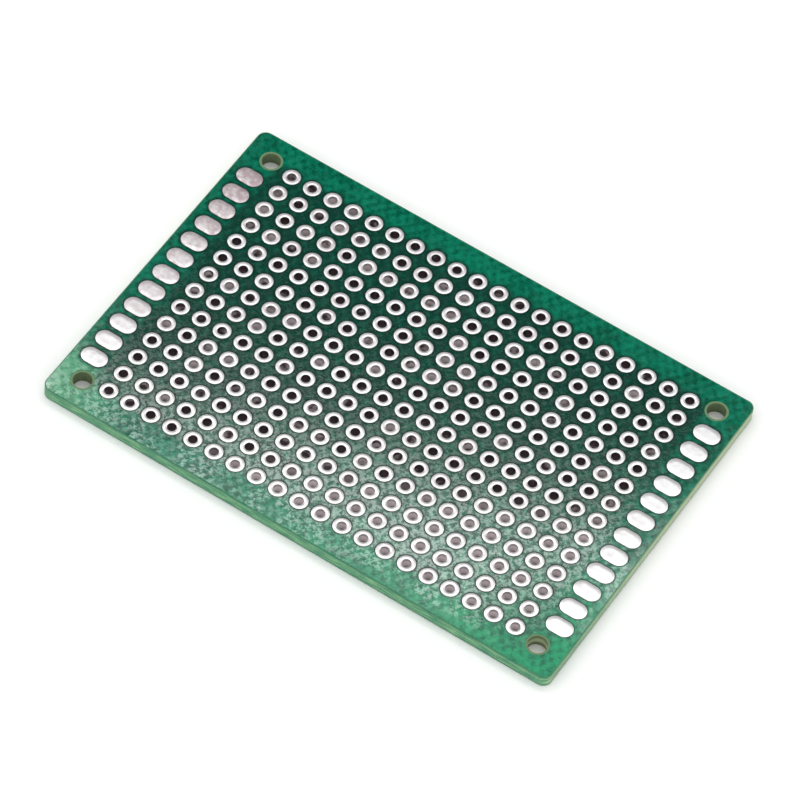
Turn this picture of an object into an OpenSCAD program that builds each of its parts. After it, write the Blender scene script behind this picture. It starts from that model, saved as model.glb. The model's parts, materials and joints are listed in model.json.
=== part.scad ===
// Double-sided perfboard: a sheet of glass-epoxy laminate with a grid of plated-through lead holes,
// a row of oval solder pads along each short edge, solder mask on both faces and a bare
// mounting hole in each corner.
// X runs along the long side, Y along the short side and Z is up. The origin lies under the
// middle of the board, on the surface that the lower edge pads rest on.

/* [Board] */
// Length of the board, along X
board_l = 60; // [45:0.5:120]
// Width of the board, along Y
board_w = 40; // [30:0.5:90]
// Thickness of the bare laminate, without copper, tin or mask
laminate_t = 1.48; // [0.6:0.02:3.2]
// Radius of the board's routed corners
corner_r = 1; // [0.3:0.1:2.5]

/* [Lead holes] */
// Distance between neighbouring holes, both ways
pitch = 2.54; // [2.3:0.02:5.08]
// Finished diameter of a lead hole, inside its plating
hole_d = 1; // [0.6:0.05:1.2]
// Thickness of the metal on the wall of a hole
plating_t = 0.05; // [0.02:0.01:0.1]
// Outer diameter of the ring pad round a hole
ring_d = 1.9; // [1.6:0.05:2.1]
// Height of the tin's crown above a ring's outer rim
ring_crown = 0.03; // [0.01:0.005:0.045]
// Least bare margin between the outermost rings and a long edge
row_margin = 2; // [1:0.1:4]

/* [Edge pads] */
// Length of an oval pad, along X
edge_pad_l = 2.9; // [2.2:0.05:4]
// Width of an oval pad, along Y
edge_pad_w = 1.9; // [1.2:0.05:2.1]
// Distance from the short edge to the middle of the oval pads
edge_pad_inset = 2.33; // [2.2:0.01:3.5]
// Height of the tin's flat middle above an oval pad's outer rim
edge_pad_crown = 0.04; // [0.01:0.005:0.1]
// Width of the shoulder over which that tin falls to the rim
edge_pad_shoulder = 0.45; // [0.2:0.05:0.55]
// Least gap between the oval pads and the first column of rings
column_gap = 0.9; // [0.4:0.1:3]

/* [Mounting holes] */
// Diameter of a mounting hole
mount_d = 2; // [1.6:0.1:3.4]
// Distance from the board's edges to the middle of a mounting hole, both ways
mount_inset = 3; // [2.8:0.1:5]
// Width of the bare laminate ring round a mounting hole
mount_relief = 0.25; // [0.1:0.05:0.6]

/* [Copper and mask] */
// Height of a pad's outer rim, which is the copper foil and its first skin of tin
copper_t = 0.02; // [0.01:0.005:0.07]
// Thickness of the solder mask
mask_t = 0.03; // [0.01:0.005:0.05]
// Gap between a pad and the mask round it
mask_gap = 0.08; // [0.03:0.01:0.1]
// How far the mask stays inside the board's edge
mask_setback = 0.1; // [0.05:0.05:0.25]
// Least strip of mask between a mounting hole's bare ring and the pads beside it
mask_web = 0.2; // [0.05:0.05:0.5]

/* [Hidden] */
$fn = 48;
// Straight steps that a drawn crown takes from its top to its rim
fall_steps = 6;
// Cuts run past the faces that they open by this much
overrun = 0.1;

ring_r = ring_d / 2;
hole_r = hole_d / 2;
drill_r = hole_r + plating_t;
ring_w = ring_r - hole_r;
ring_t = copper_t + ring_crown;
edge_pad_t = copper_t + edge_pad_crown;

// Levels of the laminate: the board rests on whichever pads stand out the most
bottom_z = max(edge_pad_t, ring_t);
top_z = bottom_z + laminate_t;

mount_x = board_l / 2 - mount_inset;
mount_y = board_w / 2 - mount_inset;
relief_r = mount_d / 2 + mount_relief;

// The grid has as many rows and columns as its margins leave room for, and is centred
edge_pad_x = board_l / 2 - edge_pad_inset;
grid_reach_x = edge_pad_x - edge_pad_l / 2 - column_gap - ring_r;
grid_reach_y = board_w / 2 - row_margin - ring_r;
columns = floor(2 * grid_reach_x / pitch) + 1;
rows = floor(2 * grid_reach_y / pitch) + 1;

function column_x(column) = (column - (columns - 1) / 2) * pitch;
function row_y(row) = (row - (rows - 1) / 2) * pitch;

// A lead hole that would run into a mounting hole's bare ring is left out
function clears_mounts(x, y) =
    norm([mount_x - abs(x), mount_y - abs(y)]) >= relief_r + mask_web + mask_gap + ring_r;

function row_places(row) =
    [for (column = [0 : columns - 1])
        if (clears_mounts(column_x(column), row_y(row))) [column_x(column), row_y(row)]];

hole_places = [for (row = [0 : rows - 1]) each row_places(row)];

// The oval pads stand in line with the rows that pass between the mounting holes
edge_pad_reach = mount_y - relief_r - mask_web - mask_gap - edge_pad_w / 2;
edge_pad_ys = [for (row = [0 : rows - 1]) if (abs(row_y(row)) <= edge_pad_reach) row_y(row)];

mount_places = [for (x = [-mount_x, mount_x], y = [-mount_y, mount_y]) [x, y]];

function row_name(row) = str("plated_holes_row_", row + 1);

// Rectangle with round corners, centred on the origin
module rounded_rectangle(l, w, r) {
    square([l - 2 * r, w], center = true);
    square([l, w - 2 * r], center = true);
    for (x = [-1, 1], y = [-1, 1])
        translate([x * (l / 2 - r), y * (w / 2 - r)]) circle(r);
}

// Bar with round ends along X, centred on the origin
module stadium(l, w) {
    square([l - w, w], center = true);
    for (x = [-1, 1]) translate([x * (l - w) / 2, 0]) circle(w / 2);
}

// Radius of an arc that is level at its top and falls by a crown's height over a run
function fall_r(run, crown) = (run * run + crown * crown) / (2 * crown);

// Circle that a crown's arc is part of, with its top on the origin
module fall_circle(run, crown) {
    radius = fall_r(run, crown);
    translate([0, -radius]) circle(radius, $fn = ceil(fall_steps * 360 / asin(run / radius)));
}

// Section through a ring pad, on the X axis: an upright rim on both sides under one round crown
module ring_section() {
    intersection() {
        translate([hole_r, 0]) square([ring_w, ring_t + overrun]);
        translate([hole_r + ring_w / 2, ring_t]) fall_circle(ring_w / 2, ring_crown);
    }
}

// Half of a section through an oval pad, from its flat middle out to its upright rim
module edge_pad_half_section() {
    flat_w = edge_pad_w / 2 - edge_pad_shoulder;
    square([flat_w, edge_pad_t]);
    intersection() {
        translate([flat_w, 0]) square([edge_pad_shoulder, edge_pad_t + overrun]);
        translate([flat_w, edge_pad_t]) fall_circle(edge_pad_shoulder, edge_pad_crown);
    }
}

// The bare glass-epoxy sheet, drilled for the plated holes and the mounting holes
module laminate() {
    color("DarkSeaGreen")
        translate([0, 0, bottom_z]) linear_extrude(laminate_t) difference() {
            rounded_rectangle(board_l, board_w, corner_r);
            for (place = hole_places) translate(place) circle(drill_r);
            for (place = mount_places) translate(place) circle(mount_d / 2);
        }
}

// Solder mask on one face, open round every pad and mounting hole
module solder_mask() {
    linear_extrude(mask_t) difference() {
        rounded_rectangle(
            board_l - 2 * mask_setback,
            board_w - 2 * mask_setback,
            max(corner_r - mask_setback, mask_setback)
        );
        for (place = hole_places) translate(place) circle(ring_r + mask_gap);
        for (place = mount_places) translate(place) circle(relief_r);
        for (side = [-1, 1], y = edge_pad_ys)
            translate([side * edge_pad_x, y])
                stadium(edge_pad_l + 2 * mask_gap, edge_pad_w + 2 * mask_gap);
    }
}

module top_solder_mask() {
    color("SeaGreen") translate([0, 0, top_z]) solder_mask();
}

module bottom_solder_mask() {
    color("SeaGreen") translate([0, 0, bottom_z]) mirror([0, 0, 1]) solder_mask();
}

// One oval pad on the plane z = 0: a crowned bar between two half-round ends
module edge_pad() {
    bar_l = edge_pad_l - edge_pad_w;
    rotate([90, 0, 90]) translate([0, 0, -bar_l / 2]) linear_extrude(bar_l) {
        edge_pad_half_section();
        mirror([1, 0]) edge_pad_half_section();
    }
    for (turn = [0, 180])
        rotate([0, 0, turn]) translate([bar_l / 2, 0, 0]) rotate([0, 0, -90])
            rotate_extrude(angle = 180) edge_pad_half_section();
}

// The oval pads along one short edge of one face
module edge_pad_row(side) {
    for (y = edge_pad_ys) translate([side * edge_pad_x, y]) edge_pad();
}

module top_edge_pads(side) {
    color("Gainsboro") translate([0, 0, top_z]) edge_pad_row(side);
}

module bottom_edge_pads(side) {
    color("Gainsboro") translate([0, 0, bottom_z]) mirror([0, 0, 1]) edge_pad_row(side);
}

// One lead hole's metal: a barrel through the laminate with a crowned ring pad on both faces
module plated_hole() {
    rotate_extrude() {
        translate([hole_r, bottom_z]) square([plating_t, laminate_t]);
        translate([0, top_z]) ring_section();
        translate([0, bottom_z]) mirror([0, 1]) ring_section();
    }
}

// The plated holes along one row of the grid
module plated_holes_row(row) {
    color("Silver") for (place = row_places(row)) translate(place) plated_hole();
}

laminate();
top_solder_mask();
bottom_solder_mask();
top_edge_pads(-1);  // top_edge_pads_left
top_edge_pads(1);  // top_edge_pads_right
bottom_edge_pads(-1);  // bottom_edge_pads_left
bottom_edge_pads(1);  // bottom_edge_pads_right
for (row = [0 : rows - 1])
    plated_holes_row(row);
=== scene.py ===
# %% [markdown]
# # A double-sided perfboard
# A perfboard is the simplest circuit board there is: a sheet of glass-epoxy laminate, a grid of
# holes whose walls are plated with copper and tin, and a green lacquer, the solder mask, that
# leaves only the metal bare. The CAD model already holds every one of those pieces at its real
# size, so this lesson is about surfaces: lacquer over woven glass, hot-dipped tin and sawn
# laminate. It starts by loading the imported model, which stays where it is from here on.

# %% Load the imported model
import json
import math

import bmesh
import bpy
from mathutils import Matrix, Vector


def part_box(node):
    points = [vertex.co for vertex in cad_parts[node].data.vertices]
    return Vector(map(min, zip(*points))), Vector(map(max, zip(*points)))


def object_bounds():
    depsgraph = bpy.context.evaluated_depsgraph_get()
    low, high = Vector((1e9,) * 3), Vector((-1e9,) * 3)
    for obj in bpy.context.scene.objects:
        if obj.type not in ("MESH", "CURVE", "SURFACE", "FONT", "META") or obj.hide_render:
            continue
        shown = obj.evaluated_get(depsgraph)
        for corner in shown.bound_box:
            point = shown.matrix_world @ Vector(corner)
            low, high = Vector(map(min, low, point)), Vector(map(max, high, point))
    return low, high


MM = 0.001

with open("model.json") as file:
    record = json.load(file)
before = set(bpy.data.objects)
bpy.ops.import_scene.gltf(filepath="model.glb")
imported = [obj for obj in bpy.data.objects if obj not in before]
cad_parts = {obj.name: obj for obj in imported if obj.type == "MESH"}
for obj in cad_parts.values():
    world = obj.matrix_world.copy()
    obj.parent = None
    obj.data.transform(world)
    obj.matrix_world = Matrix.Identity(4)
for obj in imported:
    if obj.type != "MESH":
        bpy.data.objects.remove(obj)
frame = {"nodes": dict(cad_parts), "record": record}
cad_low, cad_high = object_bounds()
nodes = frame["nodes"]
print("CAD pieces:", len(nodes), "box in mm:", [round(side / MM, 3) for side in cad_high - cad_low])

# %% [markdown]
# The finishes below follow the board's own pattern: painted shade makes the lacquer darker beside a
# pad, and a drilled wall darker than a sawn edge. The pattern could be typed in again, but then it
# would drift from the model. So it is measured from the boxes of the pieces themselves, in
# millimetres.

# %% Measure the board's pattern
def box_mm(node):
    """A node's lowest and highest corner, in millimetres."""
    low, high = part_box(node)
    return low / MM, high / MM


row_boxes = sorted(
    (box_mm(name) for name in nodes if name.startswith("plated_holes_row_")),
    key=lambda box: box[0].y,
)
row_count = len(row_boxes)
row_low, row_high = row_boxes[0]
next_row_low, _ = row_boxes[1]
ring_d = row_high.y - row_low.y
pitch = next_row_low.y - row_low.y
column_count = round((row_high.x - row_low.x - ring_d) / pitch) + 1

pads_low, pads_high = box_mm("top_edge_pads_right")
pad_l = pads_high.x - pads_low.x
pad_x = (pads_high.x + pads_low.x) / 2
pad_count = math.floor((pads_high.y - pads_low.y) / pitch) + 1
pad_w = pads_high.y - pads_low.y - (pad_count - 1) * pitch

mount = next(m for m in frame["record"]["mounts"] if m["name"] == "mounting_holes")
mount_x = mount["dims"]["spacing_x_mm"] / 2
mount_y = mount["dims"]["spacing_y_mm"] / 2
mount_r = mount["dims"]["hole_r_mm"]

laminate_low, laminate_high = box_mm("laminate")
laminate_t = laminate_high.z - laminate_low.z
laminate_mid_z = (laminate_low.z + laminate_high.z) / 2
print("holes:", column_count, "x", row_count, "pitch", round(pitch, 3), "ring", round(ring_d, 3))
print("oval pads a side:", pad_count, "size", round(pad_l, 3), "x", round(pad_w, 3))

# %% [markdown]
# Materials are little programs, and a program is easier to read as sums than as a list of boxes
# and wires. The class here wraps one output socket. Adding, taking away or multiplying two of
# them adds a Math node, and the node() method adds any other kind. Plain numbers on the left of
# an operator need the reflected forms, so that 1 - mask works too. A Mix node has sockets for
# numbers and vectors as well, so the ones for colours are picked by their place in the list.

# %% Shader sums
MIX_FACTOR = 0
MIX_FROM = 6
MIX_TO = 7
MIX_RESULT = 2


class Wire:
    """One output socket of a node tree, which takes part in sums."""

    def __init__(self, tree, socket=None):
        self.tree = tree
        self.socket = socket

    def node(self, kind, settings=None, inputs=None, out=0):
        """Add a node: its settings first, then the values or links of its sockets."""
        made = self.tree.nodes.new(kind)
        for name, value in (settings or {}).items():
            if name == "stops":
                set_stops(made.color_ramp, value)
            else:
                setattr(made, name, value)
        for name, value in (inputs or {}).items():
            feed(made.inputs[name], value)
        return Wire(self.tree, made.outputs[out])

    def math(self, operation, *others):
        """Add a Math node that takes this value first."""
        inputs = dict(enumerate((self, *others)))
        return self.node("ShaderNodeMath", {"operation": operation}, inputs)

    def __add__(self, other):
        return self.math("ADD", other)

    def __sub__(self, other):
        return self.math("SUBTRACT", other)

    def __rsub__(self, other):
        return self.node("ShaderNodeMath", {"operation": "SUBTRACT"}, {0: other, 1: self})

    def __mul__(self, other):
        return self.math("MULTIPLY", other)

    def __truediv__(self, other):
        return self.math("DIVIDE", other)

    __radd__ = __add__
    __rmul__ = __mul__

    def between(self, low, high):
        """0 below low, 1 above high and a smooth step in between."""
        settings = {"interpolation_type": "SMOOTHSTEP"}
        inputs = {"Value": self, "From Min": low, "From Max": high}
        return self.node("ShaderNodeMapRange", settings, inputs)

    def scaled(self, low, high):
        """A value that goes from low to high as this one goes from 0 to 1."""
        return self * (high - low) + low

    def mix(self, low, high):
        """A colour that goes from low to high as this value goes from 0 to 1."""
        inputs = {MIX_FACTOR: self, MIX_FROM: low, MIX_TO: high}
        return self.node("ShaderNodeMix", {"data_type": "RGBA"}, inputs, out=MIX_RESULT)


def feed(socket, value):
    """Link a Wire to an input socket, or set a plain value there."""
    if isinstance(value, Wire):
        value.tree.links.new(value.socket, socket)
    else:
        socket.default_value = value


def set_stops(ramp, stops):
    """Give a colour ramp its (position, colour) stops."""
    while len(ramp.elements) < len(stops):
        ramp.elements.new(1.0)
    for element, (position, colour) in zip(ramp.elements, stops):
        element.position = position
        element.color = colour


print("shader sums ready")

# %% [markdown]
# A colour is easiest to choose as a screen shows it, but Blender's sockets take linear light, so
# one helper turns the first into the second. Another gives a new material with its Principled
# shader, and a third feeds that shader. What is the same all over a surface is set there as a
# plain number, and only what changes from place to place is linked.

# %% Material helpers
def linear(red, green, blue):
    """A colour as a screen shows it, as the linear light that a socket takes."""
    def channel(shown):
        return shown / 12.92 if shown <= 0.04045 else ((shown + 0.055) / 1.055) ** 2.4

    return (channel(red), channel(green), channel(blue), 1.0)


def new_material(name):
    """An empty material with its Principled shader, and a Wire to start its sums from."""
    material = bpy.data.materials.new(name)
    material.use_nodes = True
    shader = material.node_tree.nodes["Principled BSDF"]
    return material, shader, Wire(material.node_tree)


def plug(shader, **sockets):
    """Feed a shader's sockets by name, with _ for each space."""
    for name, value in sockets.items():
        feed(shader.inputs[name.replace("_", " ")], value)


print("middle grey as linear light:", [round(part, 3) for part in linear(0.5, 0.5, 0.5)[:3]])

# %% [markdown]
# Every finish reads Object coordinates, which on this model are metres in the board's own frame.
# Scaled to millimetres they make the sums below easy to check against a ruler. Two distances
# come up again and again: how far a point lies from the middle of the nearest lead hole, and how
# far from the middle line of the nearest oval pad. The nearest hole is found by rounding to the
# grid and stopping at its last row and column, so the pattern ends where the real one does.

# %% Places and distances on the board
def place_mm(start):
    """Object coordinates in millimetres, as a vector."""
    place = start.node("ShaderNodeTexCoord", out="Object")
    return place.node("ShaderNodeVectorMath", {"operation": "SCALE"}, {0: place, "Scale": 1 / MM})


def split(vector):
    """The x, y and z of a vector."""
    return [vector.node("ShaderNodeSeparateXYZ", inputs={0: vector}, out=axis) for axis in range(3)]


def length(x, y):
    """Length of the vector (x, y)."""
    return (x * x + y * y).math("SQRT")


def grid_index(value, step, count):
    """Number, from 0, of the nearest of count lines that lie step apart, centred on 0."""
    middle = (count - 1) / 2
    return (value / step + middle).math("ROUND").math("MAXIMUM", 0.0).math("MINIMUM", count - 1.0)


def from_grid(value, step, count):
    """Distance to the nearest of those lines."""
    middle = (count - 1) / 2
    return value - (grid_index(value, step, count) - middle) * step


def hole_distance(x, y):
    """Distance to the middle of the nearest lead hole."""
    return length(from_grid(x, pitch, column_count), from_grid(y, pitch, row_count))


def oval_distance(x, y):
    """Distance to the middle line of the nearest oval pad."""
    from_middle_x = (x.math("ABSOLUTE") - pad_x).math("ABSOLUTE")
    past_end = (from_middle_x - (pad_l - pad_w) / 2).math("MAXIMUM", 0.0)
    return length(past_end, from_grid(y, pitch, pad_count))


def pad_distance(x, y):
    """Distance to the rim of the nearest ring or oval pad, negative on the pad itself."""
    return (hole_distance(x, y) - ring_d / 2).math("MINIMUM", oval_distance(x, y) - pad_w / 2)


print("rims from the middles of their pads: ring", round(ring_d / 2, 3), "oval", round(pad_w / 2, 3))

# %% [markdown]
# Nothing on a real board is even. A noise texture alone looks like what it is, so several of them,
# each at its own scale, are added up by weight. The sum is moved so that its middle stays at one
# half, and then a step between two limits near a half sets how hard the pattern is.

# %% Uneven patterns
def noise(vector, scale, detail=2.0, roughness=0.5):
    """Cloudy noise from 0 to 1, with about scale lumps to the millimetre."""
    inputs = {"Vector": vector, "Scale": scale, "Detail": detail, "Roughness": roughness}
    return vector.node("ShaderNodeTexNoise", inputs=inputs)


def layered(*layers):
    """Patterns added up, given as (pattern, weight), with the middle of the sum kept at a half."""
    offset = (1 - sum(weight for _, weight in layers)) / 2
    return sum((pattern * weight for pattern, weight in layers), offset)


print("patterns ready")

# %% [markdown]
# ## Solder mask
# The mask is a thin glossy lacquer, so its green comes from the pigment and its milky sheen from
# whatever is mirrored in it. It is never optically flat: it follows the weave of the glass cloth
# in the laminate below, and that breaks a reflection up into small scales. The weave could be
# modelled yarn by yarn, but it is only microns high. So it is two crossed sine waves, shaken a
# little by noise, which go to the bump, the colour and the gloss alike.

# %% Weave of the glass cloth
YARN_X = 0.58
YARN_Y = 0.80
SHAKE_SCALE = 0.9
SHAKE_WIDTH = 0.35


def weave(place):
    """Height of plain-woven cloth from 0 to 1, with a yarn spacing of its own each way."""
    shake = noise(place, SHAKE_SCALE) * SHAKE_WIDTH
    x, y, _ = split(place)
    warp = ((x + shake) * (math.pi / YARN_X)).math("SINE")
    weft = ((y - shake) * (math.pi / YARN_Y)).math("SINE")
    return warp * weft * 0.5 + 0.5


print("yarn spacing in mm:", YARN_X, "x", YARN_Y)

# %% [markdown]
# The finishes change from one part of the board to another, and so does the light and shade painted
# on them. A picture could be painted to say where, but distances do the same and never blur. One
# tells how far a point lies past a line that slants across the board, towards the front right:
# SLANT_WAY points straight across that line, which runs SLANT_FROM away from the board's middle.
# Another is the distance to a front corner, and the last tells the field between the pads from the
# margins.

# %% Zones of the board
SLANT_WAY = (0.391, -0.921)
SLANT_FROM = 11.5
FIELD_FADE = 1.2


def past_slant(x, y):
    """How far a point lies past the slanting line, negative before it."""
    return x * SLANT_WAY[0] + y * SLANT_WAY[1] - SLANT_FROM


def corner_distance(x, y):
    """Distance to the nearer of the two front corners."""
    return length(x.math("ABSOLUTE") - laminate_high.x, y - laminate_low.y)


def inside_grid(x, y):
    """1 between the lead holes and up to the oval pads, falling to 0 in the margins."""
    reach_x = pad_x - pad_l / 2
    reach_y = (row_count - 1) / 2 * pitch
    past_x = x.math("ABSOLUTE").between(reach_x - FIELD_FADE / 2, reach_x + FIELD_FADE / 2)
    past_y = y.math("ABSOLUTE").between(reach_y, reach_y + FIELD_FADE)
    return (1 - past_x) * (1 - past_y)


print("slanting line:", SLANT_FROM, "mm from the middle, field fades over", FIELD_FADE, "mm")

# %% [markdown]
# The green is mottled everywhere. Towards the front right of the board, and at both front corners,
# it is painted lighter, as painted light, and the front left corner is painted pale, as a painted
# sheen. Each of these is one colour, mixed in where its zone says and a little unevenly, as the
# mottling goes.

# %% Green of the mask
MASK_GREEN = linear(0.0, 0.305, 0.222)
MASK_LIGHT = linear(0.04, 0.483, 0.368)
# Painted light: the next colour paints the mask lighter to the front right and at the front corners.
MASK_PAINTED_LIGHT = linear(0.08, 0.59, 0.395)
# Painted sheen: the next colour paints the front left corner pale.
MASK_PAINTED_SHEEN = linear(0.43, 0.66, 0.52)
PAINTED_LIGHT_SLANT = (-2.0, 18.0)
PAINTED_LIGHT_CORNER = (1.0, 11.0)
PAINTED_LIGHT_CORNER_SHARE = 0.8
PAINTED_LIGHT_SHARES = (0.2, 1.1)
PAINTED_SHEEN_CORNER = (1.0, 9.0)
PAINTED_SHEEN_X = (-10.0, 0.0)
PAINTED_SHEEN_SHARES = (0.3, 0.8)


def mask_green(x, tone, corner, slant):
    """The mottled mask, with painted light to the front right and a painted sheen at the front left.
    """
    light_corner = (1 - corner.between(*PAINTED_LIGHT_CORNER)) * PAINTED_LIGHT_CORNER_SHARE
    # Painted light to the front right and at the front corners.
    painted_light = slant.between(*PAINTED_LIGHT_SLANT).math("MAXIMUM", light_corner) * tone.scaled(*PAINTED_LIGHT_SHARES)
    lacquer = painted_light.mix(tone.mix(MASK_GREEN, MASK_LIGHT), MASK_PAINTED_LIGHT)
    # A painted sheen on the front left corner.
    sheen_corner = (1 - corner.between(*PAINTED_SHEEN_CORNER)) * (1 - x.between(*PAINTED_SHEEN_X))
    return (sheen_corner * tone.scaled(*PAINTED_SHEEN_SHARES)).mix(lacquer, MASK_PAINTED_SHEEN)


print("mask green as linear light:", [round(part, 3) for part in MASK_GREEN[:3]])

# %% [markdown]
# All over the field between the pads the mask is darker, and beside a pad it is darker still, which
# is painted shade. Before the slanting line that darker colour is at its strongest, and past it much
# less, which is painted light where the sheen falls. So the share of the darker colour goes from one
# pair of values to another, each for the darkest and the lightest mottling.

# %% Darker mask beside the pads
# Painted shade beside the pads, and a darker field between them.
MASK_DARK_AND_SHADE = linear(0.02, 0.235, 0.185)
# Painted shade right against a pad.
MASK_SHADE = linear(0.01, 0.13, 0.10)
RIM_REACH = (0.05, 0.5)
# Painted light: past this slant the mask is made less dark, where the sheen falls.
SHEEN_LIGHTENED_SLANT = (-14.0, 4.0)
DARK_AND_SHADE_SHARES = (1.16, 0.68)
SHEEN_LIGHTENED_SHARES = (0.42, 0.18)
SHADE_SHARE = 0.5


def mask_colour(green, tone, slant, field, from_pad):
    """The green, darker between the pads, with painted shade beside a pad and painted light in the
    sheen.
    """
    # Painted shade beside a pad.
    rim = 1 - from_pad.between(*RIM_REACH)
    # Painted light where the sheen falls.
    sheen_lightened = slant.between(*SHEEN_LIGHTENED_SLANT)
    share = sheen_lightened.scaled(tone.scaled(*DARK_AND_SHADE_SHARES), tone.scaled(*SHEEN_LIGHTENED_SHARES))
    darkened = (rim.math("MAXIMUM", field) * share).mix(green, MASK_DARK_AND_SHADE)
    return (rim * field * SHADE_SHARE).mix(darkened, MASK_SHADE)


print("deep mask as linear light:", [round(part, 3) for part in MASK_DARK_AND_SHADE[:3]])

# %% [markdown]
# The gloss of a lacquer is the first thing that handling takes. The front right corner and the
# front edge beside it are worn matt, and in the margins whole patches are. Each could be a layer
# of dirt on top, but what is missing there is shine, so all three take a share of the gloss away.

# %% Worn gloss
WORN_CORNER = (2.0, 16.0)
WORN_X = (0.0, 10.0)
ROLLED_REACH = (0.4, 1.6)
ROLLED_X = (-6.0, 12.0)
ROLLED_GLOSS = 0.2
PATCH_SCALE = 0.45
PATCH_STEP = (0.45, 0.6)
PATCH_GLOSS = 0.35


def worn_corner(x, corner):
    """1 at the front right corner, falling to 0."""
    return (1 - corner.between(*WORN_CORNER)) * x.between(*WORN_X)


def sound_gloss(place, worn, field):
    """How much of the gloss is left: 1 where nothing dulls it, 0 where it is worn off."""
    x, y, _ = split(place)
    rolled = (1 - (y - laminate_low.y).between(*ROLLED_REACH)) * x.between(*ROLLED_X)
    patch = noise(place, PATCH_SCALE).between(*PATCH_STEP) * (1 - field)
    return (1 - worn) * rolled.scaled(1.0, ROLLED_GLOSS) * patch.scaled(1.0, PATCH_GLOSS)


print("gloss left on the rolled edge:", ROLLED_GLOSS, "and in a matt patch:", PATCH_GLOSS)

# %% [markdown]
# Most of the gloss is a coat over the green, because a coat's weight can change from fleck to
# fleck, and the bumpy green below adds a little of its own. The field between the pads shines
# most, and the gloss falls away beside a pad. In the margins the flecks are rarer, but the narrow
# strips outside the oval pads shine between them too.

# %% Coat of the mask
GLOSS_RISE = (0.06, 0.26)
MARGIN_GLOSS = 0.87
FLAKE_SCALE = 2.8
FLECK_STEP = (0.42, 0.58)
FLECK_COAT = 1.1
FIELD_COAT = 0.1
STRIP_COAT = 0.55
STRIP_FADE = (-0.2, 0.1)


def coat_weight(place, cloth, grain, worn, field, from_pad):
    """Weight of the glossy coat, in flecks that the cloth below helps to shape."""
    x, _, _ = split(place)
    flakes = noise(place, FLAKE_SCALE, detail=3.0, roughness=0.65)
    fleck = layered((cloth, 0.12), (flakes, 0.8), (grain, 0.6)).between(*FLECK_STEP)
    spark = fleck * field.scaled(fleck, 1.0)
    outer_strip = (x.math("ABSOLUTE") - (pad_x + pad_l / 2)).between(*STRIP_FADE)
    coat = spark * FLECK_COAT + field * FIELD_COAT + outer_strip * STRIP_COAT
    shine = from_pad.between(*GLOSS_RISE) * field.scaled(MARGIN_GLOSS, 1.0)
    return coat * shine * sound_gloss(place, worn, field)


print("gloss rises from", GLOSS_RISE[0], "to", GLOSS_RISE[1], "mm beside a pad")

# %% [markdown]
# The material puts weave, colour and gloss together. Its patterns are made once and shared, so that
# a fleck of gloss, a lump of the relief and a light spot in the green can fall together. The relief
# could be real geometry, but at eight microns a bump looks the same and costs no faces.

# %% Solder mask material
CLOUD_SCALE = 0.35
LUMP_SCALE = 1.7
GRAIN_SCALE = 6.0
TONE_STEP = (0.35, 0.65)
MASK_RELIEF_MM = 0.008
MASK_ROUGHNESS = 0.08
WORN_ROUGHNESS = 0.38
MASK_IOR = 1.4
COAT_IOR = 1.92


def bumped(height, depth_mm):
    """A surface normal from a pattern of heights that is depth_mm deep."""
    inputs = {"Strength": 1.0, "Distance": depth_mm * MM, "Height": height}
    return height.node("ShaderNodeBump", inputs=inputs)


def make_solder_mask():
    """The lacquer of both faces."""
    material, shader, start = new_material("solder_mask_lacquer")
    place = place_mm(start)
    x, y, _ = split(place)
    cloth = weave(place)
    cloud = noise(place, CLOUD_SCALE, detail=3.0)
    lumps = noise(place, LUMP_SCALE, detail=3.0, roughness=0.6)
    grain = noise(place, GRAIN_SCALE, detail=3.0, roughness=0.7)
    tone = layered((cloth, 0.12), (cloud, 0.3), (lumps, 0.45), (grain, 0.4)).between(*TONE_STEP)
    slant = past_slant(x, y)
    corner = corner_distance(x, y)
    worn = worn_corner(x, corner)
    field = inside_grid(x, y)
    from_pad = pad_distance(x, y)
    green = mask_green(x, tone, corner, slant)
    plug(
        shader,
        Base_Color=mask_colour(green, tone, slant, field, from_pad),
        Roughness=worn.scaled(MASK_ROUGHNESS, WORN_ROUGHNESS),
        IOR=MASK_IOR,
        Coat_Weight=coat_weight(place, cloth, grain, worn, field, from_pad),
        Coat_Roughness=MASK_ROUGHNESS,
        Coat_IOR=COAT_IOR,
        Normal=bumped(cloth * 0.25 + lumps + grain * 0.15, MASK_RELIEF_MM),
    )
    return material


mask_lacquer = make_solder_mask()
print(mask_lacquer.name, len(mask_lacquer.node_tree.nodes), "nodes")

# %% [markdown]
# ## Laminate
# Where the sheet was cut it shows its bare inside: plies of glass cloth in epoxy, yellow green,
# with streaks that run along the sheet and a little of the green lacquer smeared over the arris.
# The long sides were cut clean and stay green. On the short ones the cutter tore the cloth, which
# bares the dry glass and leaves them cream, towards the back most of all. Depth here is a share of
# the thickness: 0 in the middle of the sheet and a half at its faces.

# %% Colour of the cut edges
EPOXY = linear(0.13, 0.46, 0.35)
GLASS = linear(0.54, 0.73, 0.52)
DRY_GLASS = linear(0.71, 0.75, 0.61)
LACQUER_SMEAR = linear(0.06, 0.42, 0.29)
SHORT_SIDE = (-0.3, -0.02)
DRY_Y = (-16.0, 4.0)
DRY_SHARES = (0.3, 0.8)
SMEAR_STEP = (0.42, 0.62)
SMEAR_RAGGED = 0.25
SMEAR_SHARE = 0.75


def edge_colour(x, y, depth_share, streaks, tone):
    """Resin and glass, dry on the short sides, with lacquer smeared over the arris."""
    short_side = (x.math("ABSOLUTE") - laminate_high.x).between(*SHORT_SIDE)
    dry = short_side * y.between(*DRY_Y).scaled(*DRY_SHARES)
    sheet = dry.mix(tone.mix(EPOXY, GLASS), DRY_GLASS)
    smear = (depth_share + streaks * SMEAR_RAGGED).between(*SMEAR_STEP) * SMEAR_SHARE
    return smear.mix(sheet, LACQUER_SMEAR)


print("resin as linear light:", [round(part, 3) for part in EPOXY[:3]])

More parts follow.
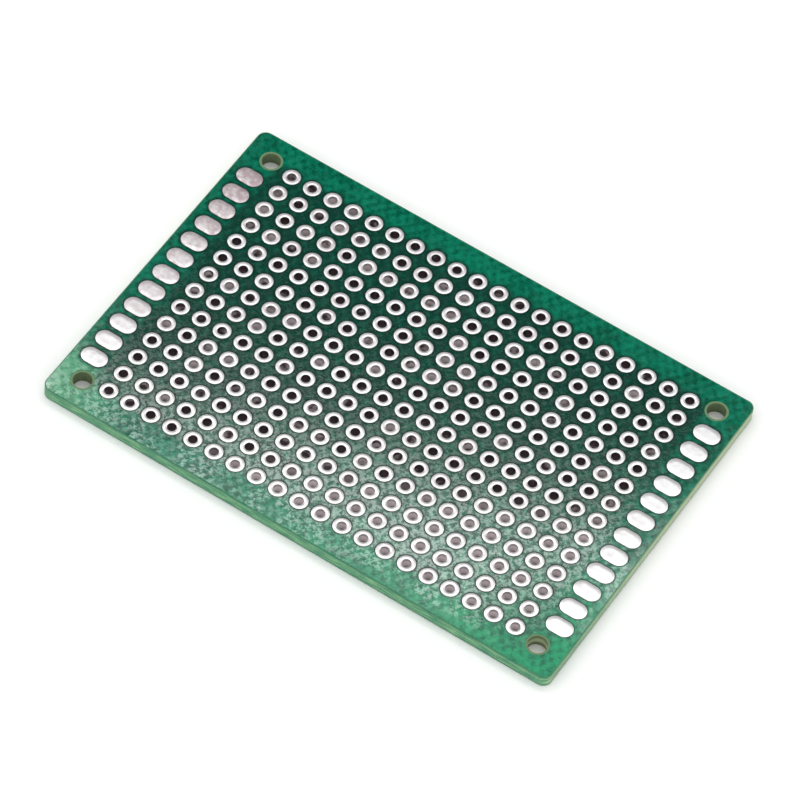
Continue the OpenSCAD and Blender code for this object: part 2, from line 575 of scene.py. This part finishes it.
# %% [markdown]
# The same sheet shows as a bare ring round each mounting hole and as the hole's drilled wall. The
# walls are painted darker than the ring, as painted shade, and the one at the front right is painted
# paler towards its middle, as painted light. They could be pieces of their own, but on the real
# board they are the laminate itself, so they are found by distance.

# %% Colour of the mounting holes
BARE_RING = linear(0.42, 0.52, 0.35)
# Drilled laminate, painted darker than the ring as painted shade.
DRILLED_AND_SHADED = linear(0.38, 0.45, 0.31)
# Painted light: the wall of the front right mounting hole is painted paler towards its middle.
DRILLED_PAINTED_LIGHT = linear(0.70, 0.74, 0.58)
RING_REACH = (0.02, 0.4)
RING_SHARE = 0.9
WALL_REACH = (0.01, 0.08)
LIT_MOUNT_SLANT = (0.0, 10.0)
LIT_MOUNT_DEPTH = (0.0, 0.4)


def mount_distance(x, y):
    """Distance to the middle of the nearest mounting hole."""
    return length(x.math("ABSOLUTE") - mount_x, y.math("ABSOLUTE") - mount_y)


def mount_colour(x, y, depth_share, around):
    """The ring and the wall of a mounting hole, laid over the colour around them."""
    from_wall = mount_distance(x, y) - mount_r
    ring = ((1 - from_wall.between(*RING_REACH)) * RING_SHARE).mix(around, BARE_RING)
    # Painted light in the front right mounting hole.
    lit_mount_wall = past_slant(x, y).between(*LIT_MOUNT_SLANT) * (1 - depth_share.between(*LIT_MOUNT_DEPTH))
    return (1 - from_wall.between(*WALL_REACH)).mix(ring, lit_mount_wall.mix(DRILLED_AND_SHADED, DRILLED_PAINTED_LIGHT))


print("mounting holes:", 2 * mount_x, "x", 2 * mount_y, "mm apart, radius", mount_r)

# %% [markdown]
# The last place where the sheet shows is the hair-wide moat between a pad and the mask, which is
# painted dark, as painted shade, because hardly any light gets out of it. Plies could be modelled as
# layers, but the sheet is one solid, so a wave through its thickness gives them. A cut edge is
# rough, so its streaks, plies and fibres go to the bump as well as to the colour.

# %% Laminate material
# Painted shade in the gap round each pad.
MOAT_SHADE = linear(0.02, 0.12, 0.09)
MOAT_REACH = (0.1, 0.12)
STREAK_SCALES = (0.45, 0.45, 4.0)
FIBRE_SCALE = 5.0
PLY_T = 0.185
GLASS_STEP = (0.365, 0.715)
LAMINATE_ROUGHNESS = (0.45, 0.75)
LAMINATE_RELIEF_MM = 0.03


def stretched(vector, scales):
    """The same place with each axis scaled by itself, which draws a pattern out into streaks."""
    return vector.node("ShaderNodeVectorMath", {"operation": "MULTIPLY"}, {0: vector, 1: scales})


def from_middle(z):
    """Distance from the middle of the laminate's thickness."""
    return (z - laminate_mid_z).math("ABSOLUTE")


def make_laminate():
    """The bare sheet: its cut edges, its mounting holes and its moats."""
    material, shader, start = new_material("sawn_laminate")
    place = place_mm(start)
    x, y, z = split(place)
    streaks = noise(stretched(place, STREAK_SCALES), 1.0, detail=3.0, roughness=0.6)
    plies = (z * (2 * math.pi / PLY_T)).math("SINE") * 0.5 + 0.5
    fibres = noise(place, FIBRE_SCALE, detail=3.0, roughness=0.7)
    tone = layered((streaks, 0.9), (plies, 0.12), (fibres, 0.35)).between(*GLASS_STEP)
    depth_share = from_middle(z) / laminate_t
    edge = edge_colour(x, y, depth_share, streaks, tone)
    # Painted shade round each pad.
    moat_shade = 1 - pad_distance(x, y).between(*MOAT_REACH)
    plug(
        shader,
        Base_Color=moat_shade.mix(mount_colour(x, y, depth_share, edge), MOAT_SHADE),
        Roughness=fibres.scaled(*LAMINATE_ROUGHNESS),
        Normal=bumped(streaks * 0.6 + plies * 0.15 + fibres * 0.5, LAMINATE_RELIEF_MM),
    )
    return material


sawn_laminate = make_laminate()
print(sawn_laminate.name, len(sawn_laminate.node_tree.nodes), "nodes")

# %% [markdown]
# ## Tin
# The pads were dipped in molten tin and blown off with hot air, so they are bright but not even:
# some freeze smooth and white, others dull and faintly pink or grey, and all have shallow ripples.
# Base Color carries the stain, Roughness the change from bright to dull, and a low bump the ripple.
# Towards the back left the tin is painted duller, as painted shade, and the left oval pads are
# stained most there.

# %% Dull and bright tin
TIN_BRIGHT = linear(0.868, 0.868, 0.868)
# Dull tin, also used as painted shade towards the back left.
TIN_DULL_AND_SHADED = linear(0.66, 0.598, 0.612)
FROST_SCALE = 0.16
MOTTLE_STEP = (0.35, 0.75)
MOTTLE_SHARE = 0.35
BACK_LEFT_SLANT = (-44.0, -4.0)
# Painted shade: how much darker all tin is towards the back left.
PAINTED_SHADE_SHARE = 0.2
LEFT_PADS_FADE = (0.0, 0.2)
LEFT_PADS_SHARES = (-0.2, 1.4)


def dullness_and_shade(place, stain):
    """How dull the tin is: mottled, with painted shade towards the back left and stain on the left
    oval pads.
    """
    x, y, _ = split(place)
    mottle = layered((noise(place, FROST_SCALE), 0.6), (stain, 0.7)).between(*MOTTLE_STEP)
    # Painted shade towards the back left, and real stain on the left oval pads.
    back_left = 1 - past_slant(x, y).between(*BACK_LEFT_SLANT)
    left_pads = 1 - (x + (pad_x - pad_l / 2)).between(*LEFT_PADS_FADE)
    stained = left_pads * stain.scaled(*LEFT_PADS_SHARES)
    return mottle * MOTTLE_SHARE + back_left * (stained + PAINTED_SHADE_SHARE)


print("bright tin as linear light:", [round(part, 3) for part in TIN_BRIGHT[:3]])

# %% [markdown]
# Inside a hole the tin is thin and the copper shows, so the wall there is warmer, and it is also
# painted darker, as painted shade. Now and then a hole's wall is painted pale, as painted light
# coming up through the hole, and towards the front right of the board every wall is. That painted
# light is strongest in the middle of the hole and fades at the knee, just below the mouth, so a hole
# still looks dark from low down. White noise on a hole's row and column gives each hole a chance of
# its own.

# %% Painted light in the holes
WALL_DEPTH = 0.12
KNEE_DEPTH = 0.45
KNEE_SHARE = 0.4
RUN_SCALE = 1.1
RANDOM_LIGHT_STEP = (0.53, 0.77)
RANDOM_LIGHT_SHARE = 0.8
FRONT_LIGHT_SLANT = (-2.5, 0.5)
FRONT_LIGHT_SHARES = (0.85, 1.0)


def hole_chance(x, y):
    """A random number from 0 to 1 that is the same all over one lead hole."""
    column = grid_index(x, pitch, column_count)
    row = grid_index(y, pitch, row_count)
    number = column.node("ShaderNodeCombineXYZ", inputs={0: column, 1: row})
    return number.node("ShaderNodeTexWhiteNoise", inputs={"Vector": number})


def light_in_holes(place, below_mouth):
    """How much painted light the wall of a hole takes."""
    x, y, _ = split(place)
    chance = hole_chance(x, y)
    run = noise(place, RUN_SCALE, detail=1.0)
    # Painted light in some holes, at random.
    lit_at_random = layered((chance, 0.7), (run, 0.8)).between(*RANDOM_LIGHT_STEP) * RANDOM_LIGHT_SHARE
    # Painted light in every hole towards the front right.
    front_holes_lit = past_slant(x, y).between(*FRONT_LIGHT_SLANT) * chance.scaled(*FRONT_LIGHT_SHARES)
    fades_at_knee = below_mouth.between(WALL_DEPTH, KNEE_DEPTH).scaled(KNEE_SHARE, 1.0)
    return lit_at_random.math("MAXIMUM", front_holes_lit) * fades_at_knee


print("lining draws thin from", KNEE_DEPTH, "to", WALL_DEPTH, "mm below the mouth")

# %% [markdown]
# Pads and walls share one material, because on the real board they are one dip of tin. The depth
# below the mouth of a hole tells a wall from a face. The painted light in a hole isn't a mirror, so
# it also takes Metallic away.

# %% Tin material
# Warmer plating, also painted darker as painted shade inside the hole.
WALL_WARM_AND_SHADED = linear(0.47, 0.40, 0.425)
# Painted light coming up through a hole.
WALL_PAINTED_LIGHT = linear(0.985, 0.95, 0.955)
MOUTH_RISE = 0.02
STAIN_SCALE = 1.3
RIPPLE_SCALE = 2.2
TIN_RELIEF_MM = 0.006
TIN_ROUGHNESS = 0.31
DULL_ROUGHNESS = 0.1
STAIN_ROUGHNESS = 0.05


def make_tin():
    """The tin of every pad and every plated wall."""
    material, shader, start = new_material("hot_dipped_tin")
    place = place_mm(start)
    _, _, z = split(place)
    stain = noise(place, STAIN_SCALE, detail=3.0, roughness=0.6)
    ripple = noise(place, RIPPLE_SCALE)
    dull_and_shade = dullness_and_shade(place, stain)
    below_mouth = laminate_t / 2 - from_middle(z)
    wall = below_mouth.between(-MOUTH_RISE, WALL_DEPTH)
    hole_light = light_in_holes(place, below_mouth)
    plug(
        shader,
        Base_Color=wall.mix(dull_and_shade.mix(TIN_BRIGHT, TIN_DULL_AND_SHADED), hole_light.mix(WALL_WARM_AND_SHADED, WALL_PAINTED_LIGHT)),
        Metallic=1 - wall * hole_light,
        Roughness=dull_and_shade * DULL_ROUGHNESS + stain * STAIN_ROUGHNESS + TIN_ROUGHNESS,
        Normal=bumped(ripple, TIN_RELIEF_MM),
    )
    return material


hot_dipped_tin = make_tin()
print(hot_dipped_tin.name, len(hot_dipped_tin.node_tree.nodes), "nodes")

# %% [markdown]
# A CAD node keeps its mesh and only changes its finish, so each piece is given one of the three
# materials by what it is made of. The record's material slots already say that.

# %% Dress the pieces
FINISHES = {
    "laminate": sawn_laminate,
    "solder_mask": mask_lacquer,
    "tinned_copper": hot_dipped_tin,
}
slot_of = {part["node"]: part["material_slot"] for part in frame["record"]["subparts"]}
for name, piece in nodes.items():
    piece.data.materials.clear()
    piece.data.materials.append(FINISHES[slot_of[name]])
print("dressed:", len(nodes), "pieces")

# %% [markdown]
# ## Studio
# The board lies on a pale seamless floor. A floor needs no more than one large face, but it has
# to be matt, so that the only shadow is the soft one under the board. It lies a hair lower than
# the lowest pads, because two faces in the very same plane would flicker.

# %% Floor
FLOOR_HALF = 6.0
FLOOR_DROP = 0.01 * MM
PAPER = linear(0.985, 0.985, 0.985)
PAPER_SPECK = linear(0.995, 0.995, 0.995)
SPECK_SCALE = 0.02
PAPER_ROUGHNESS = 0.9
PAPER_SPECULAR = 0.1


def make_paper():
    """A matt white that is hardly specked."""
    material, shader, start = new_material("pale_paper")
    speck = noise(place_mm(start), SPECK_SCALE)
    plug(
        shader,
        Base_Color=speck.mix(PAPER, PAPER_SPECK),
        Roughness=PAPER_ROUGHNESS,
        Specular_IOR_Level=PAPER_SPECULAR,
    )
    return material


def make_floor():
    """One large face just below the board."""
    shape = bmesh.new()
    bmesh.ops.create_grid(shape, x_segments=1, y_segments=1, size=FLOOR_HALF)
    bmesh.ops.translate(shape, vec=(0.0, 0.0, cad_low.z - FLOOR_DROP), verts=shape.verts)
    mesh = bpy.data.meshes.new("floor")
    shape.to_mesh(mesh)
    shape.free()
    mesh.materials.append(make_paper())
    floor = bpy.data.objects.new("floor", mesh)
    bpy.context.scene.collection.objects.link(floor)
    return floor


floor = make_floor()
print("floor:", floor.dimensions.x, "m wide")

# %% [markdown]
# The camera stands where the photographer stood, with a longer lens, so that the board fills the
# frame. That eye point is written in the board's own frame, in millimetres from the middle of its
# upper face.

# %% Camera
EYE_MM = Vector((143.0, -272.9, 438.0))
UP = Vector((-0.458, 0.630, 0.627))
LENS_MM = 240.0
NEAR_CLIP = 10 * MM

face_centre = Vector((0.0, 0.0, cad_high.z))
aim = Vector((0.0, 0.0, cad_high.z / 2))


def look(place, target, up):
    """A matrix that puts a camera or lamp at a place and turns it to a target."""
    back = (place - target).normalized()
    right = up.cross(back).normalized()
    turn = Matrix((right, back.cross(right), back)).transposed().to_4x4()
    return Matrix.Translation(place) @ turn


lens = bpy.data.cameras.new("camera")
lens.lens = LENS_MM
lens.clip_start = NEAR_CLIP
camera = bpy.data.objects.new("camera", lens)
bpy.context.scene.collection.objects.link(camera)
eye = face_centre + EYE_MM * MM
camera.matrix_world = look(eye, aim, UP)
bpy.context.scene.camera = camera
print("camera at", [round(c, 3) for c in eye])

# %% [markdown]
# Two soft boxes hang side by side over the board. The far edge of the brighter one is what
# matters: seen in the glossy mask, it covers the front of the board and ends part of the way
# back, which gives the milky sheen in front and the deep green behind. The edge is worked out
# backwards, by mirroring the line of sight in the board at the two ends of the line where the
# sheen should stop. The second box is far larger and dimmer. It lights the whole board evenly, and
# because it is no brighter than white paper, tin that mirrors it doesn't burn out.

# %% Soft boxes
BOX_HEIGHT = 1.0
SHEEN_ENDS_MM = (Vector((-27.0, -17.0, 0.0)), Vector((27.0, -0.5, 0.0)))
SHEEN_BOX = {"width": 1.3, "depth": 0.35, "radiance": 3.15}
WIDE_BOX = {"width": 2.8, "depth": 2.2, "radiance": 1.0}
UPWARDS = Vector((0.0, 0.0, 1.0))


def mirrored(point):
    """Where the line of sight to a point on the board, mirrored in it, meets the boxes' level."""
    sight = point - eye
    sight.z = -sight.z
    return point + sight * (BOX_HEIGHT / sight.z)


def hang_box(name, edge, inwards, width, depth, radiance):
    """Hang a lamp facing down, its far edge centred on a point, and give its near edge's centre."""
    lamp = bpy.data.lights.new(name, "AREA")
    lamp.shape = "RECTANGLE"
    lamp.size = width
    lamp.size_y = depth
    lamp.energy = radiance * math.pi * width * depth
    box = bpy.data.objects.new(name, lamp)
    bpy.context.scene.collection.objects.link(box)
    centre = edge + inwards * (depth / 2)
    box.matrix_world = look(centre, centre - UPWARDS, -inwards)
    print(name, "at", [round(c, 3) for c in centre], "energy", round(lamp.energy, 2))
    return edge + inwards * depth


edge_left, edge_right = (mirrored(face_centre + end * MM) for end in SHEEN_ENDS_MM)
inwards = (edge_right - edge_left).normalized().cross(UPWARDS)
near_edge = hang_box("sheen_box", (edge_left + edge_right) / 2, inwards, **SHEEN_BOX)
hang_box("wide_box", near_edge, inwards, **WIDE_BOX)

# %% [markdown]
# The rest of the studio is the world: white walls low down, which light the cut edges and blend
# with the floor, and a dim ceiling, which leaves the mask its own colour where no box is mirrored.
# The colour depends only on how high a direction points.

# %% World
WALL_LIGHT = (1.0, 1.0, 1.0, 1.0)
CEILING_LIGHT = (0.03, 0.03, 0.03, 1.0)
WALL_TOP = 0.45
CEILING_EDGE = 0.7


def make_world():
    """White walls that fade into a dim ceiling."""
    world = bpy.data.worlds.new("studio")
    world.use_nodes = True
    start = Wire(world.node_tree)
    height = split(start.node("ShaderNodeTexCoord", out="Generated"))[2]
    stops = [
        (0.0, WALL_LIGHT),
        (WALL_TOP, WALL_LIGHT),
        (CEILING_EDGE, CEILING_LIGHT),
        (1.0, CEILING_LIGHT),
    ]
    sky = start.node("ShaderNodeValToRGB", {"stops": stops}, {"Fac": height})
    plug(world.node_tree.nodes["Background"], Color=sky)
    return world


bpy.context.scene.world = make_world()
bpy.context.scene.view_settings.view_transform = "Standard"
print("world:", bpy.context.scene.world.name)
